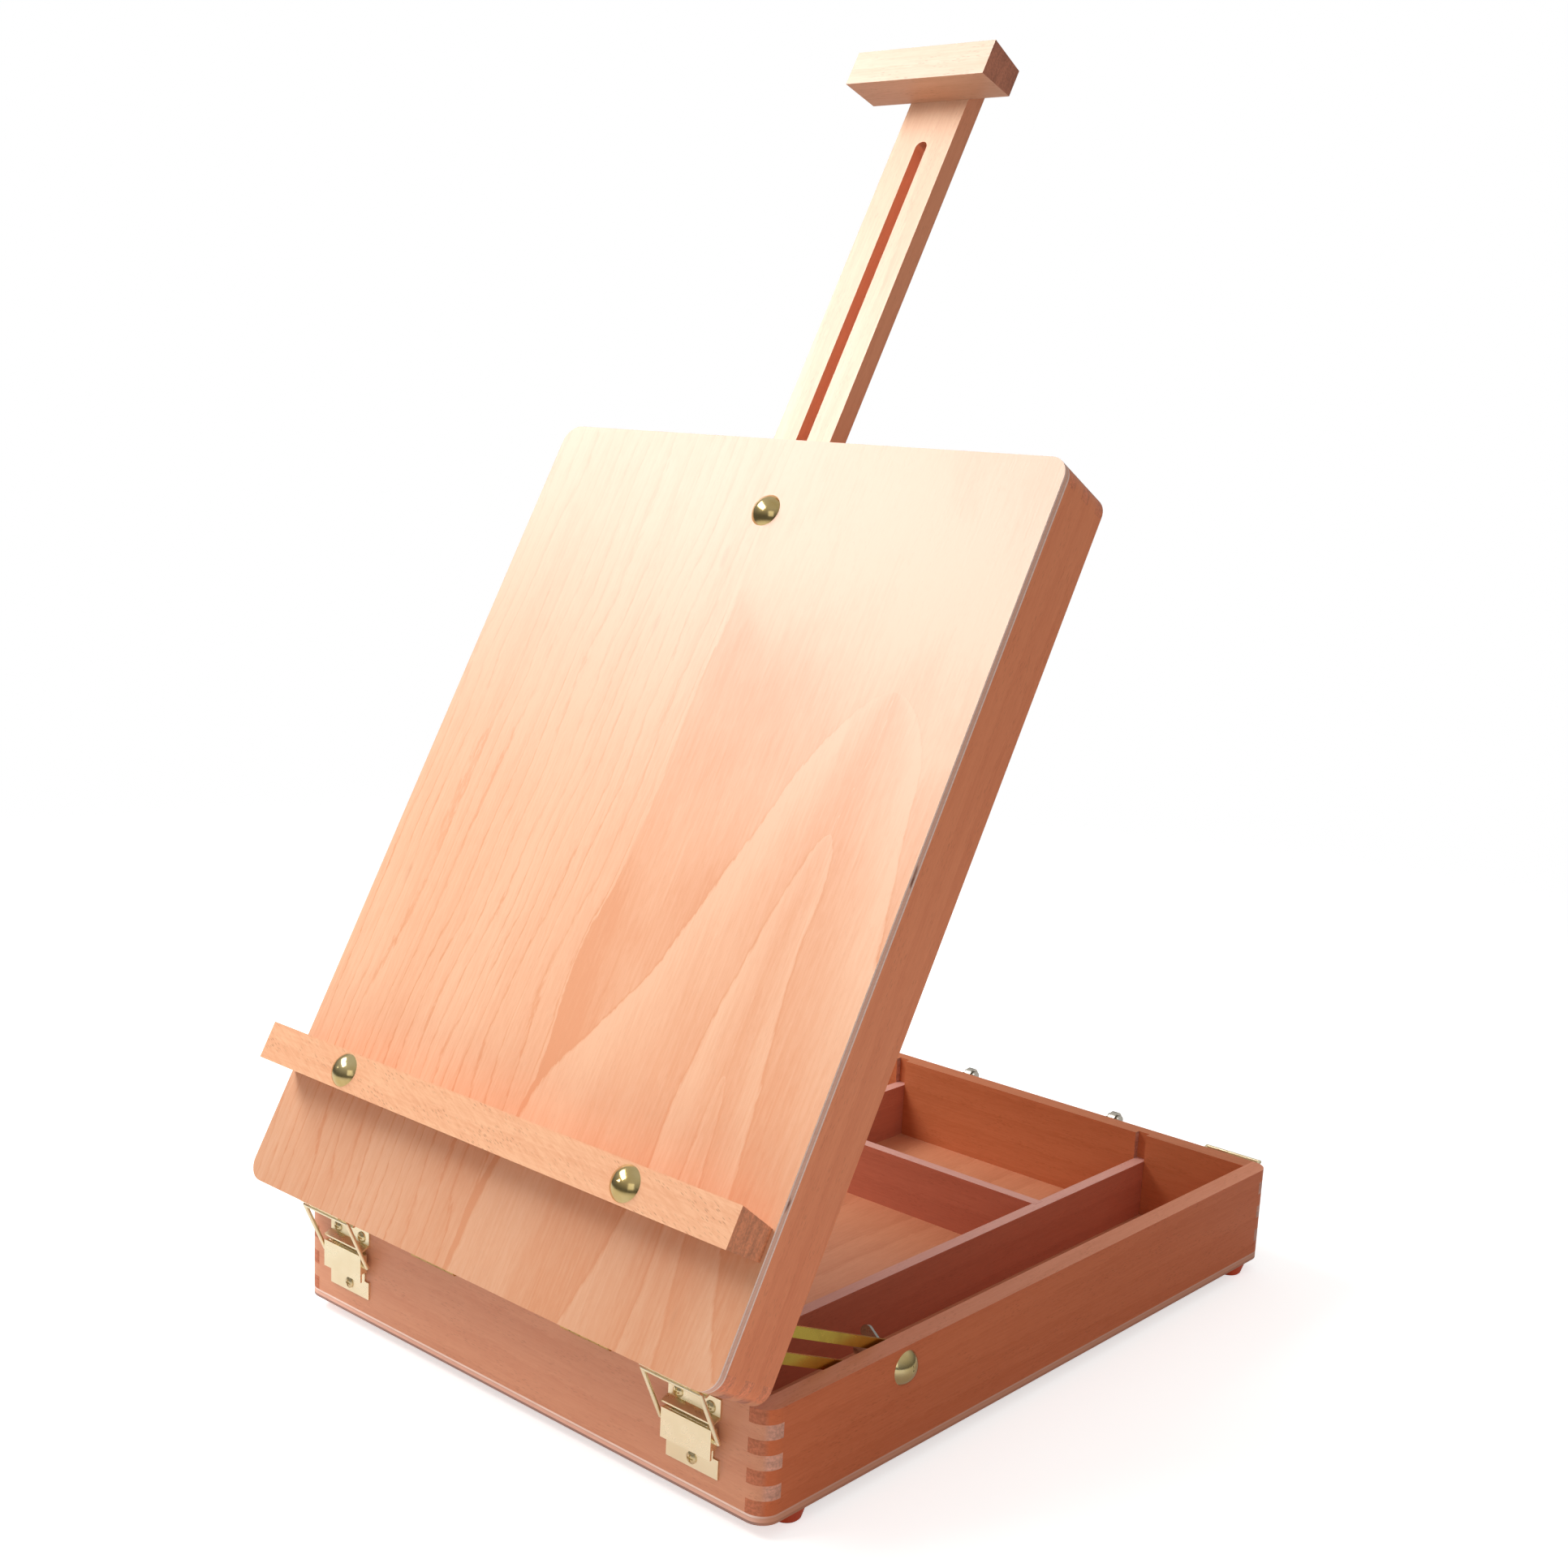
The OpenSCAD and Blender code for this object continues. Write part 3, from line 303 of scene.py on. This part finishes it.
def panel_wood(name, light, dark, seed):
    """Lid veneer: straight lines on the left, a darker heart, and a nested flame on the right."""
    n = Net(name)
    vec, _, is_flat = board_space(n, LID, "y")
    at = n.split(n.mapping(n.coords("Object"), rot=LID, scale=(1000, 1000, 1000)))

    # No edge is quite straight
    sway = n.noise(n.mapping(vec, loc=(seed, 0, 0), scale=(6, 9, 0)), 1.0, 2.0, 0.45)
    ragged = n.noise(n.mapping(vec, scale=(110, 500, 0)), 1.0, 3.0, 0.6)
    x = n.math("ADD", at[0], n.range(sway, 0.25, 0.75, -9, 9))
    x = n.math("ADD", x, n.range(ragged, 0.3, 0.7, -0.7, 0.7))
    up = n.math("SUBTRACT", at[1], PANEL_LOW * 1000)
    away = n.math("ABSOLUTE", n.math("SUBTRACT", x, FLAME_X))

    # Half the width of each flame, at this height
    edges = []
    for top, spread in FLAMES:
        drop = n.math("MAXIMUM", n.math("SUBTRACT", top, up), 0.0)
        edges.append(n.math("MULTIPLY", n.math("SQRT", drop), spread))
    # The two outer flames flare out low down
    edges[0] = n.math("ADD", edges[0], n.range(up, 160, 80, 0.0, 27.0, smooth=True))
    edges[1] = n.math("ADD", edges[1], n.range(up, 70, 0, 0.0, 14.0))

    # The heart is mottled, and pales upwards and round the tip of the outer flame
    blotch = n.noise(n.mapping(vec, scale=(9, 13, 0)), 1.0, 2.0, 0.5, 0.6)
    heart = n.range(blotch, 0.35, 0.65, 0.0, 0.4, smooth=True)
    tone = n.math("ADD", heart, n.range(up, 270, 350, 0.0, 0.4, smooth=True))
    paler = n.math("MULTIPLY", n.range(x, 50, 105, 0.0, 0.4, smooth=True), n.range(up, 130, 250))
    tone = n.math("ADD", tone, paler)

    # Each flame starts light behind a thin dark rim, and darkens inwards
    for i, edge in enumerate(edges):
        inner = edges[i + 1] if i + 1 < len(edges) else 0.0
        width = n.math("MAXIMUM", n.math("SUBTRACT", edge, inner), 1.0)
        depth = n.math("SUBTRACT", edge, away)
        part = n.math("POWER", n.math("MAXIMUM", n.math("DIVIDE", depth, width), 0.0), 0.8)
        band = n.math("SUBTRACT", 1.0, n.math("MULTIPLY", part, 0.62 - 0.1 * i))
        rim = n.range(n.math("ABSOLUTE", depth), 0.2, 1.2, 0.4, 0.0)
        rim = n.math("MULTIPLY", rim, n.range(edge, 1.0, 6.0))
        rim = n.math("MULTIPLY", rim, n.range(up, 290, 150, 0.3, 1.0))
        tone = n.math("ADD", n.math("MULTIPLY", tone, n.range(depth, -0.2, 0.2, 1.0, 0.0)),
                      n.math("MULTIPLY", band, n.range(depth, -0.2, 0.2)))
        tone = n.math("SUBTRACT", tone, rim)

    # Straight growth lines, stronger low down
    uneven = n.noise(n.mapping(vec, scale=(1.2, 38, 0)), 1.0, 2.0, 0.5)
    count = n.math("DIVIDE", n.math("ADD", x, n.range(uneven, 0.25, 0.75, -7, 7)), LINE_PITCH)
    turn = n.math("FRACT", count)
    patchy = n.noise(n.mapping(vec, scale=(14, 60, 0)), 1.0, 3.0, 0.6)
    broken = n.range(patchy, 0.38, 0.6, 0.16, 0.48)
    off_line = n.math("ABSOLUTE", n.math("SUBTRACT", turn, 0.93))
    line = n.math("MULTIPLY", n.range(off_line, 0.015, 0.058, 1.0, 0.0), broken)
    line = n.math("MULTIPLY", line, n.range(up, 40, 330, 1.6, 0.75))
    band = n.math("MULTIPLY", n.math("POWER", turn, 2.0), 0.2)
    lines = n.math("SUBTRACT", n.math("SUBTRACT", 0.86, band), line)
    lean = n.range(up, 100, 0, 0.0, -14.0, smooth=True)
    side = n.math("ADD", n.math("SUBTRACT", HEART_EDGE, x), lean)
    tone = n.math("ADD", n.math("MULTIPLY", tone, n.range(side, -0.3, 0.3, 1.0, 0.0)),
                  n.math("MULTIPLY", lines, n.range(side, -0.3, 0.3)))

    # Painted light: the whole panel is darker low down and paler high up, as the lamp above falls off
    # down the lid
    tone = n.math("ADD", tone, n.range(up, 0, 260, -0.16, 0.10))
    # Painted shadow under the ledge
    tone = n.math("SUBTRACT", tone, n.range(up, 20, 115, 0.1, 0.0, smooth=True))
    # Near the top both tones pale, partly paler varnish and partly a painted sheen of the lamp; low
    # down they darken as a painted shadow under the ledge
    pale = n.range(up, 170, 390, 0.0, 0.42, smooth=True)
    ledge_shadow = n.range(up, 25, 115, 0.85, 0.0, smooth=True)
    light, dark = (n.mix(ledge_shadow, n.mix(pale, c, PALE_VARNISH_AND_SHEEN), shade(c, 0.8)) for c in (light, dark))

    low, high = z_span("lid_panel", LID_TURN)
    edge = ply_edge(n, n.math("DIVIDE", at[2], 1000), low, high, *PLY_EDGE)
    return beech(n, (vec, n.math("SUBTRACT", 1.0, is_flat), is_flat), tone, light, dark, 0.08, edge,
                 coat=0.1, gloss=0.38, relief=0.4)


def bottom_wood(name, light, dark):
    """Plywood bottom with its layers showing round the edge."""
    n = Net(name)
    vec, _, is_flat = board_space(n, CASE, "y")
    at = n.split(n.coords("Object"))
    warp = n.noise(n.mapping(vec, scale=(2.5, 14, 14)), 1.0, 2.0)
    g = n.math("ADD", n.math("MULTIPLY", at[0], 40.0), n.math("MULTIPLY", warp, 2.6))
    tone = growth_lines(n, g, vec)

    # Painted shade: a painted shadow line along the lowest veneer, and the edge that faces +x pulled
    # towards the dark tone
    low, high = z_span("base_bottom", CASE_TURN)
    edge = ply_edge(n, at[2], low, high, *PLY_EDGE)
    shadow_line = n.range(at[2], low + 0.0009, low + 0.0014, 0.75, 0.0)
    edge = n.mix(shadow_line, edge, PAINTED_SHADOW_LINE)
    # Painted shade: the edge facing +x, away from the light, is pulled towards the dark tone
    right = n.split(n.coords("Normal"))[0]
    edge = n.mix(n.range(right, 0.3, 0.9, 0.0, 0.7), edge, dark)
    return beech(n, (vec, n.math("SUBTRACT", 1.0, is_flat), is_flat), tone, light, dark, 0.12, edge)


def metal(name, colour, rough, scratch, brush=(1, 1, 1), dull=None, wear=0.05):
    """Plated metal with fine wear, a little dulling and an optional brushed direction."""
    n = Net(name)
    obj = n.coords("Object")
    cloud = n.noise(obj, 70.0, 3.0, 0.5)
    fine = n.noise(n.mapping(obj, scale=brush), 900.0, 2.0, 0.6)
    tint = n.mix(n.range(cloud, 0.40, 0.66), colour, dull or shade(colour, 0.8))
    n.set(Base_Color=tint, Metallic=1.0,
          Roughness=n.math("ADD", n.range(cloud, 0.3, 0.7, rough * 0.75, rough * 1.3),
                           n.range(fine, 0.3, 0.7, -wear, wear)))
    n.bump(fine, scratch, 0.00006)
    return n.mat


def plain(name, colour, rough, grit=600.0, strength=0.3):
    """Rubber or leather: a matt colour with a fine grit and broad, darker patches."""
    n = Net(name)
    obj = n.coords("Object")
    a = n.noise(obj, grit, 3.0, 0.6)
    b = n.noise(obj, 60.0, 3.0, 0.5)
    n.set(Base_Color=n.mix(n.range(b, 0.35, 0.7), colour, shade(colour, 0.72)),
          Roughness=n.range(a, 0.3, 0.7, rough - 0.08, rough + 0.1))
    n.bump(a, strength, 0.0002)
    return n.mat


LID_TURN = Euler(LID).to_matrix()
CASE_TURN = Matrix.Identity(3)
# How far up the lid its panel begins
PANEL_LOW = min((LID_TURN @ v.co).y for v in nodes["lid_panel"].data.vertices)

# What the panel pales to near the top: partly paler varnish, partly a painted sheen
PALE_VARNISH_AND_SHEEN = srgb(248, 214, 198)
# Face veneer, core and glue
PLY_EDGE = (srgb(255, 224, 210), srgb(240, 186, 162), srgb(178, 116, 94))
# Painted shadow line along the bottom of the plywood edge
PAINTED_SHADOW_LINE = srgb(112, 62, 52)
# Light and dark tone of each board
PANEL = (srgb(243, 191, 155), srgb(229, 159, 117))
WALL = (srgb(224, 158, 122), srgb(208, 136, 102))
BACK = (srgb(208, 126, 84), srgb(188, 104, 64))
# Painted shade: the left and right walls are darker and redder than the front wall, taken from the
# right wall that faces away from the light
SIDE_IN_PAINTED_SHADE = (srgb(214, 118, 76), srgb(196, 100, 60))
LID_SIDE = (srgb(246, 154, 110), srgb(226, 130, 90))
FLOOR = (srgb(224, 155, 117), srgb(203, 130, 94))
CREAM = (srgb(244, 206, 174), srgb(228, 180, 144))
MAST = (srgb(244, 164, 122), srgb(228, 142, 102))
CLAMP = (srgb(230, 176, 142), srgb(208, 148, 112))
LEDGE = (srgb(243, 187, 146), srgb(222, 150, 110))
DIVIDER = (srgb(206, 126, 100), srgb(186, 106, 82))
# Painted light: how much paler the faces that look up, or out of the lid, are made than the shaded
# sides, in red, green and blue
SIDE_TOP_PAINTED_LIGHT = (1.25, 1.95, 2.95)
DIVIDER_TOP_PAINTED_LIGHT = (1.35, 2.1, 2.85)
MAST_FACE_PAINTED_LIGHT = (1.06, 1.8, 2.4)
CLAMP_FACE_PAINTED_LIGHT = (1.25, 1.75, 2.2)
# End grain
WALL_END = srgb(220, 158, 134)
BACK_END = srgb(204, 146, 124)
SIDE_END = srgb(196, 118, 86)
LID_END = srgb(236, 142, 102)
LID_SIDE_END = srgb(190, 126, 104)
LEDGE_END = srgb(222, 140, 99)
CLAMP_END = srgb(196, 124, 96)

mats = {}
mats["base_x"] = wood("wood_base_x", *WALL, CASE, "x", seed=1.0, end=WALL_END, depth=0.25)
mats["base_back"] = wood("wood_base_back", *BACK, CASE, "x", seed=13.0, end=BACK_END, depth=0.25,
                         gloss=0.3)
mats["base_y"] = wood("wood_base_y", *SIDE_IN_PAINTED_SHADE, CASE, "y", seed=2.0, end=SIDE_END, depth=0.25, gloss=0.15,
                      flat_tint=SIDE_TOP_PAINTED_LIGHT)
mats["lid_x"] = wood("wood_lid_x", *WALL, LID, "x", seed=3.0, end=LID_END, depth=0.25)
mats["lid_y"] = wood("wood_lid_y", *LID_SIDE, LID, "y", seed=4.0, end=LID_SIDE_END, depth=0.25,
                     gloss=0.3)
mats["bottom"] = bottom_wood("wood_bottom", *FLOOR)
mats["divider_x"] = wood("wood_divider_x", *DIVIDER, CASE, "x", seed=6.0, depth=0.25, gloss=0.3,
                         flat_tint=DIVIDER_TOP_PAINTED_LIGHT)
mats["divider_y"] = wood("wood_divider_y", *DIVIDER, CASE, "y", seed=7.0, depth=0.25, gloss=0.3,
                         flat_tint=DIVIDER_TOP_PAINTED_LIGHT)
mats["panel"] = panel_wood("wood_panel", *PANEL, seed=8.0)
mats["ledge"] = wood("wood_ledge", *LEDGE, LID, "x", seed=9.0, fleck=0.5, end=LEDGE_END, depth=0.15,
                     tilt=0.35, figure=0.17, ray=7.0)
mats["mast"] = wood("wood_mast", *MAST, LID, "y", seed=10.0, fleck=0.2, depth=0.3, coat=0.2,
                    flat_tint=MAST_FACE_PAINTED_LIGHT)
mats["clamp"] = wood("wood_clamp", *CLAMP, LID, "x", seed=11.0, fleck=0.35, end=CLAMP_END, depth=0.25,
                     flat_tint=CLAMP_FACE_PAINTED_LIGHT)
mats["guide"] = wood("wood_guide", *CREAM, LID, "y", seed=12.0)
mats["brass"] = metal("brass_bolt", srgb(216, 198, 148), rough=0.15, scratch=0.015,
                      dull=srgb(198, 174, 116), wear=0.02)
mats["latch"] = metal("brass_latch", srgb(246, 234, 200), rough=0.3, scratch=0.02,
                      dull=srgb(243, 229, 192), wear=0.02)
mats["screw"] = metal("brass_screw", srgb(225, 205, 160), rough=0.24, scratch=0.2)
mats["hinge"] = metal("brass_hinge", srgb(205, 172, 104), rough=0.3, scratch=0.3)
mats["zinc"] = metal("yellow_zinc", srgb(206, 184, 80), rough=0.3, scratch=0.12, brush=(1, 0.1, 0.1),
                     dull=srgb(190, 166, 72), wear=0.03)
mats["steel"] = metal("nut_steel", srgb(205, 205, 198), rough=0.3, scratch=0.4)
mats["handle"] = metal("handle_steel", srgb(214, 208, 196), rough=0.25, scratch=0.3)
mats["rubber"] = plain("foot_rubber", srgb(226, 84, 42), rough=0.5)
mats["grip"] = plain("grip_leather", srgb(70, 38, 26), rough=0.5, grit=350.0, strength=0.5)

# Material of each node
DRESS = {
    "base_x": "base_front_wall",
    "base_back": "base_back_wall",
    "base_y": "base_left_wall base_right_wall",
    "lid_x": "lid_bottom_rail lid_top_rail",
    "lid_y": "lid_left_rail lid_right_rail",
    "bottom": "base_bottom",
    "divider_x": "cross_divider",
    "divider_y": "long_divider short_divider",
    "panel": "lid_panel",
    "ledge": "canvas_ledge",
    "mast": "mast",
    "clamp": "canvas_clamp",
    "guide": "left_mast_guide right_mast_guide",
    "brass": "stay_bolts ledge_bolts mast_bolt",
    "latch": "front_latch_plates back_latch_plates latch_pivot_pins front_catches back_catches "
             "front_left_lever front_right_lever back_left_lever back_right_lever "
             "front_left_loop front_right_loop back_left_loop back_right_loop",
    "screw": "base_screws lid_screws clamp_screws",
    "hinge": "hinge_base_leaves hinge_lid_leaves hinge_pins",
    "zinc": "left_stay right_stay",
    "steel": "clamp_washers stay_pivot_screws left_stay_stud right_stay_stud "
             "left_stay_nut right_stay_nut left_ledge_nut right_ledge_nut mast_nut",
    "handle": "handle_brackets handle_pins handle_frame",
    "rubber": "rubber_feet",
    "grip": "handle_grip",
}
# Width of the rounded edges, in metres
BEVEL = {"wood": 0.0007, "metal": 0.00022}


def dress():
    """Gives each node its material and rounds its edges a little."""
    for key, names in DRESS.items():
        for name in names.split():
            ob = nodes[name]
            ob.data.materials.clear()
            ob.data.materials.append(mats[key])
            wooden = mats[key].name.startswith("wood")
            bev = ob.modifiers.new("edge", "BEVEL")
            bev.width = BEVEL["wood" if wooden else "metal"]
            bev.segments = 2
            bev.limit_method = "ANGLE"
            bev.angle_limit = math.radians(40)
            bev.use_clamp_overlap = True


dress()


# ---------------------------------------------------------------- stage
def add_light(name, place, target, size, power, colour=(1, 1, 1)):
    """A rectangular lamp that looks at the target."""
    data = bpy.data.lights.new(name, "AREA")
    data.shape = "RECTANGLE"
    data.size, data.size_y = size
    data.energy = power
    data.color = colour
    ob = bpy.data.objects.new(name, data)
    bpy.context.scene.collection.objects.link(ob)
    ob.location = place
    ob.rotation_euler = (Vector(target) - Vector(place)).to_track_quat("-Z", "Y").to_euler()


# Where the floor starts to fade, and where it is gone, in metres from the origin
FADE = (0.45, 1.3)
# Half the width of the floor
FLOOR_HALF = 1.4
# How much the floor shines by itself in the camera's view
FLOOR_GLOW = 0.6


def floor_material():
    """White floor that fades out with distance, so that it has no far edge."""
    n = Net("floor_white")
    n.set(Base_Color=(0.85, 0.85, 0.85), Roughness=0.9, Specular_IOR_Level=0.1,
          Emission_Color=(1, 1, 1))
    seen = n.add("ShaderNodeLightPath").outputs["Is Camera Ray"]
    n.set(Emission_Strength=n.math("MULTIPLY", seen, FLOOR_GLOW))
    far = n.add("ShaderNodeVectorMath", operation="LENGTH")
    n.link(n.coords("Object"), far.inputs[0])
    clear = n.add("ShaderNodeBsdfTransparent")
    join = n.add("ShaderNodeMixShader")
    n.link(n.range(far.outputs[1], *FADE, 0.0, 1.0, smooth=True), join.inputs[0])
    n.link(n.bsdf.outputs[0], join.inputs[1])
    n.link(clear.outputs[0], join.inputs[2])
    n.link(join.outputs[0], n.out.inputs["Surface"])
    return n.mat


# Strength of the sky at its lower and upper end, as soft light and in what shines
SKY_SOFT = (0.28, 0.56)
SKY_SHINE = (0.14, 0.6)


def sky_light(t, levels, span, colour):
    """A background with its levels at the two ends of a span of heights above the horizon."""
    bg = t.nodes.new("ShaderNodeBackground")
    sep = t.nodes.new("ShaderNodeSeparateXYZ")
    t.links.new(t.nodes.new("ShaderNodeTexCoord").outputs["Generated"], sep.inputs[0])
    grade = t.nodes.new("ShaderNodeMapRange")
    t.links.new(sep.outputs[2], grade.inputs[0])
    for i, v in zip((1, 2, 3, 4), span + levels):
        grade.inputs[i].default_value = v
    bg.inputs[0].default_value = colour + (1,)
    t.links.new(grade.outputs[0], bg.inputs[1])
    return bg


def studio_world():
    """White as seen, a soft overhead gradient as light, and a darker room in what shines."""
    world = bpy.data.worlds.new("studio")
    bpy.context.scene.world = world
    world.use_nodes = True
    t = world.node_tree
    t.nodes.clear()
    seen = t.nodes.new("ShaderNodeBackground")
    seen.inputs[0].default_value = (1, 1, 1, 1)
    soft = sky_light(t, SKY_SOFT, span=(-0.1, 0.9), colour=(1.0, 0.975, 0.95))
    shine = sky_light(t, SKY_SHINE, span=(0.0, 0.7), colour=(1.0, 0.98, 0.95))
    path = t.nodes.new("ShaderNodeLightPath")
    glossy = t.nodes.new("ShaderNodeMixShader")
    t.links.new(path.outputs["Is Glossy Ray"], glossy.inputs[0])
    t.links.new(soft.outputs[0], glossy.inputs[1])
    t.links.new(shine.outputs[0], glossy.inputs[2])
    join = t.nodes.new("ShaderNodeMixShader")
    t.links.new(path.outputs["Is Camera Ray"], join.inputs[0])
    t.links.new(glossy.outputs[0], join.inputs[1])
    t.links.new(seen.outputs[0], join.inputs[2])
    out = t.nodes.new("ShaderNodeOutputWorld")
    t.links.new(join.outputs[0], out.inputs[0])


def stage():
    """The white floor, the sky and two lamps."""
    mesh = bpy.data.meshes.new("floor")
    r = FLOOR_HALF
    mesh.from_pydata([(-r, -r, 0), (r, -r, 0), (r, r, 0), (-r, r, 0)], [], [(0, 1, 2, 3)])
    floor = bpy.data.objects.new("floor", mesh)
    bpy.context.scene.collection.objects.link(floor)
    mesh.materials.append(floor_material())
    studio_world()
    add_light("key", (-0.88, -0.78, 1.36), target=(0, 0, 0.30), size=(1.55, 0.5), power=24.5,
              colour=(1.0, 0.98, 0.965))
    add_light("fill", (1.3, -1.9, 0.9), target=(0, 0, 0.15), size=(1.2, 1.2), power=4)
    view = bpy.context.scene.view_settings
    view.view_transform = "Standard"
    view.look = "None"


stage()
